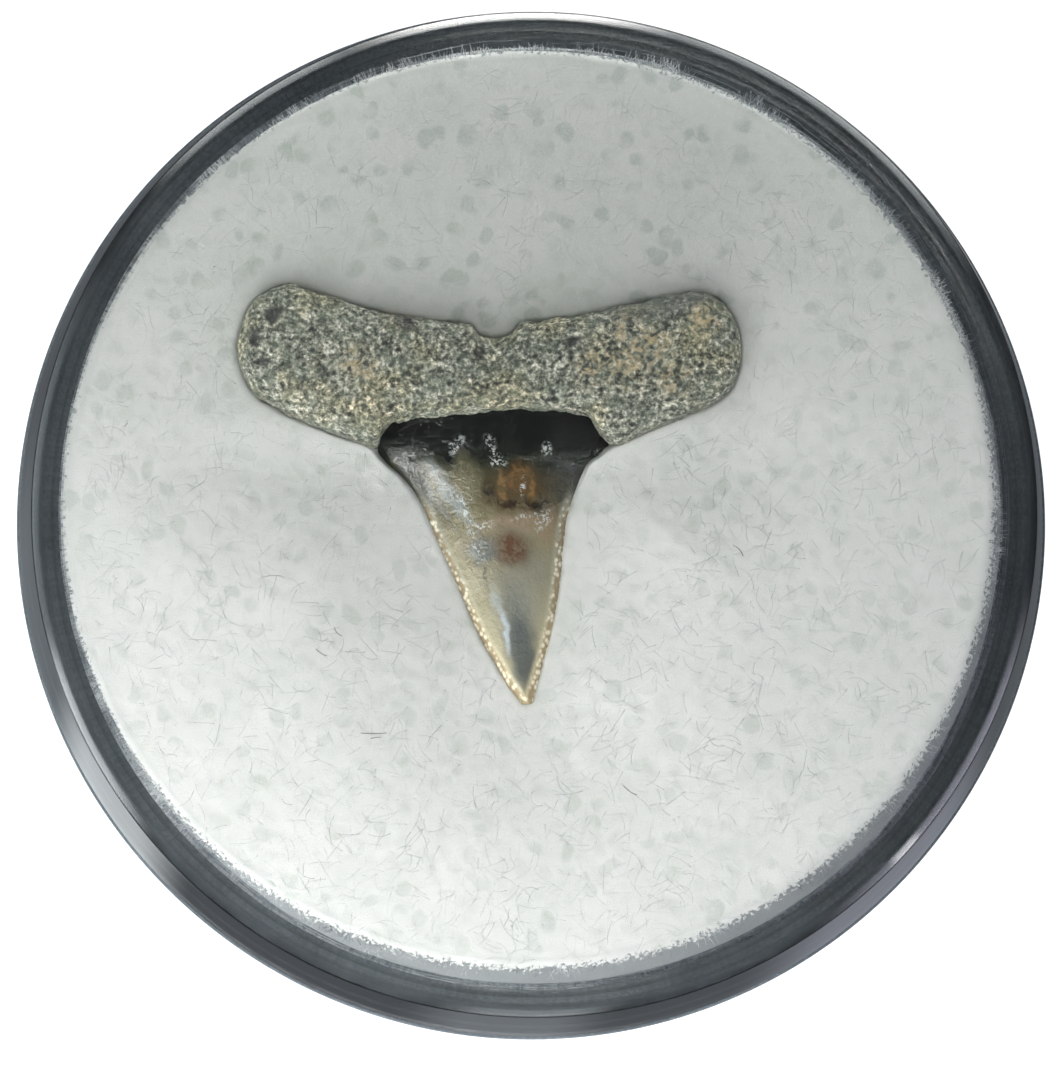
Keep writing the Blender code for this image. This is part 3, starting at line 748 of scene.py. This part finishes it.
def root_vertices():
    """Rings of the root with the fossil's lumps, pits and grain, and how near its rim each point is."""
    basal, ledge = root_edges()
    start, end = basal[0, 0], basal[-1, 0]
    x = root_stations(start, end)[:, None]
    low = np.interp(x, ledge[:, 0], ledge[:, 1])
    high = np.interp(x, basal[:, 0], basal[:, 1])
    half = (end - start) / 2.0
    offset = np.abs(x - (start + end) / 2.0)
    extra = ROOT_THICKNESS_MIDDLE - ROOT_THICKNESS_LOBE
    thickness = ROOT_THICKNESS_LOBE + extra * (1.0 - (offset / half) ** 2)
    into_end = np.maximum(0.0, (offset - (half - ROOT_END_ROUNDING)) / ROOT_END_ROUNDING)
    thickness = thickness * np.sqrt(np.maximum(0.0, 1.0 - into_end ** 2))
    top = TOOTH_TOP - (ROOT_THICKNESS_MIDDLE - thickness) * ROOT_TOP_FALL
    angle = np.linspace(0.0, 2.0 * math.pi, ROOT_SECTION_POINTS, endpoint=False)[None, :]
    across = signed_power(np.cos(angle), 2.0 / ROOT_SQUARENESS)
    upward = signed_power(np.sin(angle), 2.0 / ROOT_SQUARENESS)
    centre_y = (low + high) / 2.0
    centre_z = top - thickness / 2.0
    y = centre_y + across * (high - low) / 2.0
    z = centre_z + upward * thickness / 2.0
    lingual = np.maximum(upward, 0.0)
    groove = np.exp(-((x - GROOVE_X) / GROOVE_WIDTH) ** 2)
    z = z - GROOVE_DEPTH * groove * lingual * smooth_step((across + 0.3) / 1.1)
    for pit_x, pit_y, radius, depth in PITS:
        z = z - depth * lingual * np.exp(-((x - pit_x) ** 2 + (y - pit_y) ** 2) / radius ** 2)
    z = z + HEEL_RISE * np.minimum(upward, 0.0) * smooth_step((0.1 - across) / 0.2)
    over_crown = smooth_step((LEDGE_HALF_WIDTH - np.abs(x)) / 0.4) * np.maximum(0.0, -across)
    y = y + LEDGE_OVERHANG * over_crown * (1.0 - upward) / 2.0
    rings, columns = y.shape
    level = np.zeros_like(y)
    flat = np.stack([x + level, y, z], 2).reshape(-1, 3)
    centre = np.stack([x + level, centre_y + level, centre_z + level], 2).reshape(-1, 3)
    outward = flat - centre
    outward /= np.maximum(np.linalg.norm(outward, axis=1, keepdims=True), 1e-6)
    swell = (np.minimum(1.0, thickness / ROOT_THICKNESS_LOBE) + level).reshape(-1)
    lumps = noise_at(flat, LUMP_SIZE) + 0.5 * noise_at(flat, LUMP_SIZE * 0.45)
    move = (lumps * 0.7 - 0.5) * LUMP_HEIGHT * swell
    move += 0.06 * noise_at(flat, 0.42, 9.0) * swell
    move += 0.04 * noise_at(flat, 0.22, 3.0) + 0.035 * noise_at(flat, 0.12, 5.0)
    pores = pores_at(flat, PORE_SIZE, 2.0)
    move -= PORE_DEPTH * smooth_step((0.33 - pores) / 0.25)
    flat = flat + outward * move[:, None]
    rim = (smooth_step((np.abs(across) - 0.93) / 0.07) + level).reshape(-1)
    return flat, rings, columns, rim


def crown_vertices():
    """Rings of the crown with its fine serrations, how far down and how far in each point is."""
    base = CROWN_LEFT_EDGE[0][1]
    length = base - CROWN_TIP_Y
    body_end = length - CROWN_TIP_ROUNDING
    count = round(body_end / CROWN_STATION_STEP)
    rounding_places = length - CROWN_TIP_ROUNDING * np.cos(0.5 * math.pi * np.arange(1, 12) / 12)
    place = np.concatenate([np.linspace(0.0, body_end, count), rounding_places])
    edges = []
    for corners in (CROWN_LEFT_EDGE, CROWN_RIGHT_EDGE):
        x, y = np.array(smooth_path(corners, 20)).T
        edges.append(np.interp(place, base - y, x))
    left, right = edges
    bite = np.abs(np.sin(math.pi * (place - SERRATION_START) / SERRATION_PITCH))
    uneven = np.array([noise.noise(Vector((p / 0.3, 0.0, 0.0))) for p in place])
    worn = smooth_step((place - SERRATION_START) / 0.8)
    worn = worn * smooth_step((length - SERRATION_END - place) / 1.2)
    notch = SERRATION_DEPTH * (1.0 - bite) * worn * (1.0 + 0.6 * uneven)
    into_tip = np.maximum(0.0, 1.0 - (length - place) / CROWN_TIP_ROUNDING)
    rounding = np.sqrt(1.0 - into_tip ** 2)
    pinch = (right - left) / 2.0 * (1.0 - rounding)
    left = (left + pinch)[:, None]
    right = (right - pinch)[:, None]
    along = (place / length)[:, None]
    rounding = rounding[:, None]
    extra = (CROWN_THICKNESS_BASE - CROWN_THICKNESS_TIP) * (1.0 - along ** CROWN_TAPER)
    thickness = CROWN_THICKNESS_TIP + extra
    underside = TOOTH_TOP - ROOT_THICKNESS_MIDDLE - CROWN_PROUD_BELOW
    bottom = underside + CROWN_TIP_RISE * along ** 2 + thickness * (1.0 - rounding) / 2.0
    top = bottom + thickness * rounding
    angle = np.linspace(0.0, 2.0 * math.pi, CROWN_SECTION_POINTS, endpoint=False)[None, :]
    across = np.cos(angle)
    bulge = np.abs(np.sin(angle)) ** CROWN_EDGE_SHARPNESS
    edge_height = bottom + (top - bottom) * 0.4
    z = edge_height + bulge * (np.where(np.sin(angle) > 0.0, top, bottom) - edge_height)
    half = (right - left) / 2.0
    at_edge = signed_power(across, SERRATION_NARROWNESS)
    x = (left + right) / 2.0 + half * across - notch[:, None] * at_edge
    y = np.broadcast_to((base - place)[:, None], x.shape)
    flat = np.stack([x, y, z], 2).reshape(-1, 3)
    down = np.broadcast_to(along, x.shape).reshape(-1)
    margin = (half * (1.0 - np.abs(across))).reshape(-1)
    ripple = 0.05 * noise_at(flat, 0.9, 7.0) + 0.012 * noise_at(flat, 0.3, 8.0)
    flat[:, 2] += ripple * np.sign(flat[:, 2] - edge_height.repeat(CROWN_SECTION_POINTS, 1).reshape(-1))
    return flat, len(place), CROWN_SECTION_POINTS, {"down": down, "margin": margin}


def close_rings(flat, rings, columns):
    """Add the two pole vertices and return vertices and faces."""
    first = flat[:columns].mean(axis=0)
    last = flat[-columns:].mean(axis=0)
    return np.concatenate([flat, [first, last]]), ring_faces(rings, columns)


def make_tooth(bone, enamel, collection):
    """Root and crown as one piece with two materials."""
    root, rings, columns, rim = root_vertices()
    root, root_faces = close_rings(root, rings, columns)
    crown, rings, columns, readings = crown_vertices()
    crown, crown_faces = close_rings(crown, rings, columns)
    shift = len(root)
    faces = [tuple(reversed(face)) for face in root_faces]
    faces += [tuple(shift + corner for corner in face) for face in crown_faces]
    vertices = np.concatenate([root, crown]) + np.array([LEDGE_X, LEDGE_Y, 0.0])
    slots = [0] * len(root_faces) + [1] * len(crown_faces)
    piece = add_mesh("fossil_tooth", vertices, faces, [bone, enamel], collection, face_slots=slots)
    poles = [0.0, 0.0]
    add_attribute(piece, "rim", np.concatenate([rim, poles, np.zeros(len(crown))]))
    for name, values in readings.items():
        add_attribute(piece, name, np.concatenate([np.zeros(len(root)), values, poles]))
    return piece


# Pad


def tooth_outline():
    """Outline of the whole tooth seen from above, as an array of points."""
    basal, ledge = root_edges()
    left, right = ([point for point in smooth_path(edge, 6) if point[1] < CROWN_SHOWS_BELOW]
                   for edge in (CROWN_LEFT_EDGE, CROWN_RIGHT_EDGE))
    tip = ((left[-1][0] + right[-1][0]) / 2.0, CROWN_TIP_Y)
    ledge_left = [tuple(point) for point in ledge[::6] if point[0] < LEDGE_SHOWS[0]]
    ledge_right = [tuple(point) for point in ledge[::6] if point[0] > LEDGE_SHOWS[1]]
    upper = [tuple(point) for point in basal[::-6]]
    outline = ledge_left + left + [tip] + right[::-1] + ledge_right + upper
    return np.array(outline) + np.array([LEDGE_X, LEDGE_Y])


def outline_distance(points, outline):
    """Signed distance from each point to the outline, negative inside."""
    best = np.full(len(points), 1e9)
    inside = np.zeros(len(points), dtype=bool)
    px, py = points[:, 0], points[:, 1]
    for (ax, ay), (bx, by) in zip(outline, np.roll(outline, -1, axis=0)):
        length = max((bx - ax) ** 2 + (by - ay) ** 2, 1e-12)
        t = np.clip(((px - ax) * (bx - ax) + (py - ay) * (by - ay)) / length, 0.0, 1.0)
        gap = np.hypot(px - (ax + t * (bx - ax)), py - (ay + t * (by - ay)))
        best = np.minimum(best, gap)
        crosses = (ay > py) != (by > py)
        at = ax + (py - ay) * (bx - ax) / np.where(by == ay, 1e-9, by - ay)
        inside ^= crosses & (px < at)
    return np.where(inside, -best, best)


def pad_height(points, outline):
    """Height of the pad's top at each point: pressed in round the tooth, mottled elsewhere."""
    gap = outline_distance(points, outline)
    down_root = smooth_step((LEDGE_Y + 0.3 - points[:, 1]) / 2.5)
    down_crown = smooth_step((LEDGE_Y - 3.5 - points[:, 1]) / 5.0)
    edge = PAD_LEVEL_ROOT + (PAD_LEVEL_CROWN - PAD_LEVEL_ROOT) * down_root
    edge += (PAD_LEVEL_TIP - PAD_LEVEL_CROWN) * down_crown
    slope = smooth_step(0.15 + 0.85 * np.clip(gap, 0.0, None) / PAD_SLOPE_REACH)
    height = edge + (PAD_TOP - edge) * slope
    under = TOOTH_TOP - ROOT_THICKNESS_MIDDLE - CROWN_PROUD_BELOW - 0.05
    height = np.where(gap < 0.0, height + (under - height) * smooth_step(-gap / 0.35), height)
    flat = np.column_stack([points, np.zeros(len(points))])
    dimples = smooth_step((0.42 - pores_at(flat, 0.95, 1.0)) / 0.3)
    return height - 0.03 * dimples + 0.014 * noise_at(flat, 0.4, 1.0) + 0.05 * noise_at(flat, 3.5, 4.0)


def make_pad(material, collection):
    """Closed pad: a plug inside the neck that swells over its rim, with a soft pressed top."""
    outline = tooth_outline()
    side = [(PAD_NECK_RADIUS - 0.9, PAD_FOOT), (PAD_NECK_RADIUS - 0.3, PAD_FOOT + 0.25),
            (PAD_NECK_RADIUS, PAD_FOOT + 0.9), (PAD_NECK_RADIUS, NECK_TOP - 0.1)]
    side += arc(PAD_NECK_RADIUS + 0.35, NECK_TOP - 0.02, 0.3, 180, 100, 4)
    side += arc(PAD_SWELL_RADIUS - PAD_SIDE, PAD_TOP - PAD_SIDE - PAD_EDGE, PAD_SIDE, -40, 20, 5)
    rings = [ring(radius, height, PAD_SEGMENTS) for radius, height in side]
    for radius in np.linspace(PAD_SWELL_RADIUS, PAD_MIDDLE, PAD_RINGS):
        circle = ring(radius, 0.0, PAD_SEGMENTS)
        circle[:, 0] += PAD_OFF_CENTRE[0] * radius / PAD_SWELL_RADIUS
        circle[:, 1] *= 1.0 - (1.0 - PAD_SWELL_SQUASH) * radius / PAD_SWELL_RADIUS
        circle[:, 1] += PAD_OFF_CENTRE[1] * radius / PAD_SWELL_RADIUS
        into_edge = np.clip((radius - (PAD_SWELL_RADIUS - PAD_EDGE)) / PAD_EDGE, 0.0, 1.0)
        fall = PAD_EDGE * (1.0 - math.sqrt(1.0 - into_edge ** 2))
        circle[:, 2] = pad_height(circle[:, :2], outline) - fall
        rings.append(circle)
    top_centre = rings[-1].mean(axis=0)
    vertices = np.concatenate(rings + [[(0.0, 0.0, PAD_FOOT)], [top_centre]])
    faces = ring_faces(len(rings), PAD_SEGMENTS)
    piece = add_mesh("wadding_pad", vertices, faces, [material], collection)
    face_outwards(piece)
    return piece, outline


class Strands:
    """Collects thin three-sided tubes that taper to one end."""

    def __init__(self):
        self.vertices = []
        self.faces = []

    def add(self, points, radius):
        """Add one strand along the points, in mm."""
        shift = len(self.vertices)
        points = np.array(points)
        for index, point in enumerate(points):
            ahead = points[min(index + 1, len(points) - 1)] - points[max(index - 1, 0)]
            ahead = ahead / max(np.linalg.norm(ahead), 1e-9)
            side = np.cross(ahead, (0.0, 0.0, 1.0))
            side = side / max(np.linalg.norm(side), 1e-9)
            lift = np.cross(side, ahead)
            taper = radius * (1.0 - 0.5 * index / len(points))
            for corner in range(3):
                turn = 2.0 * math.pi * corner / 3.0
                self.vertices.append(point + taper * (math.cos(turn) * side + math.sin(turn) * lift))
        for index in range(len(points) - 1):
            first = shift + index * 3
            for corner in range(3):
                following = (corner + 1) % 3
                self.faces.append((first + corner, first + following,
                                   first + 3 + following, first + 3 + corner))
        last = shift + (len(points) - 1) * 3
        self.faces.append((shift, shift + 2, shift + 1))
        self.faces.append((last, last + 1, last + 2))

    def piece(self, name, material, collection):
        """Make one object of all the strands."""
        return add_mesh(name, self.vertices, self.faces, [material], collection)


def make_fringe(material, collection):
    """Short fibres that stand out all round the pad's rim."""
    dice = np.random.default_rng(SEED)
    strands = Strands()
    for _ in range(FRINGE_COUNT):
        turn = dice.uniform(0.0, 2.0 * math.pi)
        tuft = noise.noise(Vector((math.cos(turn) * 9.0, math.sin(turn) * 9.0, 0.0)))
        radius = PAD_SWELL_RADIUS - dice.uniform(-0.03, 0.1) + 0.05 * tuft
        length = dice.uniform(0.06, 0.34) * (1.0 + 0.9 * tuft)
        heading = turn + dice.normal(0.0, 0.5)
        curl = dice.normal(0.0, 0.5)
        point = np.array([radius * math.cos(turn) + PAD_OFF_CENTRE[0],
                          radius * math.sin(turn) * PAD_SWELL_SQUASH + PAD_OFF_CENTRE[1],
                          PAD_TOP - dice.uniform(0.05, 0.8)])
        strand = [point]
        for _ in range(FRINGE_STEPS):
            heading += curl / FRINGE_STEPS
            ahead = np.array([math.cos(heading), math.sin(heading), dice.normal(0.0, 0.12)])
            point = point + length / FRINGE_STEPS * ahead
            reach = math.hypot(point[0], point[1])
            if reach > PAD_FURTHEST:
                point[:2] *= PAD_FURTHEST / reach
            strand.append(point)
        strands.add(strand, dice.uniform(0.008, 0.014))
    return strands.piece("pad_fringe", material, collection)


def make_lint(material, collection, outline):
    """Fine short fibres matted into the pad's top."""
    dice = np.random.default_rng(SEED + 1)
    reach = PAD_SWELL_RADIUS * 0.97 * np.sqrt(dice.random(LINT_COUNT))
    turn = dice.uniform(0.0, 2.0 * math.pi, LINT_COUNT)
    starts = np.column_stack([reach * np.cos(turn), reach * np.sin(turn)])
    paths = [starts]
    heading = dice.uniform(0.0, 2.0 * math.pi, LINT_COUNT)
    length = dice.uniform(0.25, 0.9, LINT_COUNT)
    curl = dice.normal(0.0, 0.9, LINT_COUNT)
    for _ in range(LINT_STEPS):
        heading = heading + curl / LINT_STEPS
        ahead = np.column_stack([np.cos(heading), np.sin(heading)])
        paths.append(paths[-1] + ahead * (length / LINT_STEPS)[:, None])
    paths = np.stack(paths, 1)
    places = paths.reshape(-1, 2)
    heights = pad_height(places, outline).reshape(LINT_COUNT, LINT_STEPS + 1) + LINT_LIFT
    gaps = outline_distance(places, outline).reshape(LINT_COUNT, LINT_STEPS + 1).min(axis=1)
    reach = np.hypot(paths[:, :, 0], paths[:, :, 1]).max(axis=1)
    strands = Strands()
    for index in np.flatnonzero((gaps > 0.15) & (reach < PAD_SWELL_RADIUS - PAD_EDGE)):
        strands.add(np.column_stack([paths[index], heights[index]]), dice.uniform(0.004, 0.008))
    return strands.piece("pad_lint", material, collection)


def make_hairs(material, collection, outline):
    """The few dark hairs that show on the pad."""
    strands = Strands()
    for x, y, length, heading, bend in PAD_HAIRS:
        path = [np.array([x, y])]
        for step in range(HAIR_STEPS):
            turn = math.radians(heading + bend * step / HAIR_STEPS)
            path.append(path[-1] + length / HAIR_STEPS * np.array([math.cos(turn), math.sin(turn)]))
        path = np.array(path)
        strands.add(np.column_stack([path, pad_height(path, outline) + HAIR_LIFT]), HAIR_RADIUS)
    return strands.piece("pad_hairs", material, collection)


# Studio


def add_lamp(name, place, aim, width, height, power):
    """Soft rectangular lamp, place and size in mm, left out of mirror images."""
    lamp = bpy.data.lights.new(name, "AREA")
    lamp.shape = "RECTANGLE"
    lamp.size = width * MM
    lamp.size_y = height * MM
    lamp.energy = power
    made = bpy.data.objects.new(name, lamp)
    made.location = Vector(place) * MM
    made.rotation_euler = (Vector(place) - Vector(aim)).to_track_quat("Z", "Y").to_euler()
    made.visible_glossy = False
    bpy.context.scene.collection.objects.link(made)


def make_world():
    """Dim even surroundings with soft bright panels that the lid's shoulder and wall mirror."""
    world = bpy.data.worlds.new("studio")
    world.use_nodes = True
    nodes = Nodes(world.node_tree)
    axes = nodes.axes(nodes.node("TexCoord").outputs["Generated"])
    azimuth = nodes.math("ARCTAN2", axes[1], axes[0])
    elevation = nodes.math("ARCSINE", axes[2])
    total = tuple(c * WORLD_BASE for c in WORLD_TONE)
    for turn, rise, half_turn, half_rise, power, tone in WORLD_PANELS:
        off_turn = nodes.math("SUBTRACT", azimuth, math.radians(turn))
        off_turn = nodes.math("WRAP", off_turn, math.pi, -math.pi)
        off_rise = nodes.math("SUBTRACT", elevation, math.radians(rise))
        shares = [nodes.spread(nodes.math("ABSOLUTE", off), math.radians(half),
                               math.radians(half * PANEL_CORE))
                  for off, half in ((off_turn, half_turn), (off_rise, half_rise))]
        glow = tuple(c * power for c in tone)
        total = nodes.vector("MULTIPLY_ADD", nodes.times(*shares), glow, total)[0]
    nodes.feed(nodes.tree.nodes["Background"], {"Color": total})
    bpy.context.scene.world = world


def make_floor(collection):
    """Plain pale floor, lit through from below like a light table."""
    shader = Shader("floor_white")
    tone = shader.noise(60.0, detail=1.0)
    color = shader.mix(tone, (FLOOR_TONE,) * 3, (FLOOR_TONE * 1.04,) * 3)
    shader.set(Emission_Color=(1.0, 1.0, 1.0, 1.0), Emission_Strength=FLOOR_GLOW)
    material = shader.finish(Base_Color=color, Roughness=0.9)
    corners = [(x * FLOOR_REACH, y * FLOOR_REACH, 0.0) for x, y in ((-1, -1), (1, -1), (1, 1), (-1, 1))]
    floor = add_mesh("floor", corners, [(0, 1, 2, 3)], [material], collection, smooth=False)
    floor.visible_glossy = False
    floor.visible_transmission = False
    return floor


def make_camera():
    """Camera nearly straight above, leaning a little to the front."""
    back = Vector((-math.sin(CAMERA_TILT_X), -math.sin(CAMERA_TILT_Y), 0.0))
    back.z = math.sqrt(1.0 - back.x ** 2 - back.y ** 2)
    right = Vector((0.0, 1.0, 0.0)).cross(back).normalized()
    up = back.cross(right)
    turn = Matrix((right, up, back)).transposed()
    data = bpy.data.cameras.new("photo_camera")
    data.sensor_width = 36.0
    data.sensor_fit = "HORIZONTAL"
    data.lens = CAMERA_LENS
    data.clip_start = 0.01
    data.clip_end = 10.0
    camera = bpy.data.objects.new("photo_camera", data)
    camera.location = (Vector((CAMERA_AIM[0], CAMERA_AIM[1], 0.0)) + back * CAMERA_DISTANCE) * MM
    camera.rotation_euler = turn.to_euler()
    bpy.context.scene.collection.objects.link(camera)
    bpy.context.scene.camera = camera


def main():
    """Build every piece, hang it on the root body, hide the CAD parts that it stands for, and light the
    scene.
    """
    scene = bpy.context.scene
    scene.view_settings.view_transform = "Standard"
    parts = scene.collection

    lid = turned("clear_lid", lid_profile(), clear_plastic(), parts)
    cup = turned("black_cup", cup_profile(), black_plastic(), parts)
    tooth = make_tooth(root_bone(), crown_enamel(), parts)
    pad, outline = make_pad(white_fibre(), parts)
    fringe = make_fringe(fibre_strand("fringe_strand", *FRINGE_SHADE_TINTS), parts)
    lint = make_lint(fibre_strand("lint_strand", *LINT_TINTS), parts, outline)
    hairs = make_hairs(dark_hair(), parts, outline)

    for piece, node in ((lid, "jar_lid"), (cup, "jar_base"), (tooth, "tooth"), (pad, "foam_pad")):
        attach(piece, "root")
        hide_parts(node)
    for piece in (fringe, lint, hairs):
        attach(piece, "root")

    make_floor(parts)
    make_world()
    make_camera()
    add_lamp("key", KEY_PLACE, KEY_AIM, *KEY_SIZE, KEY_POWER)


main()
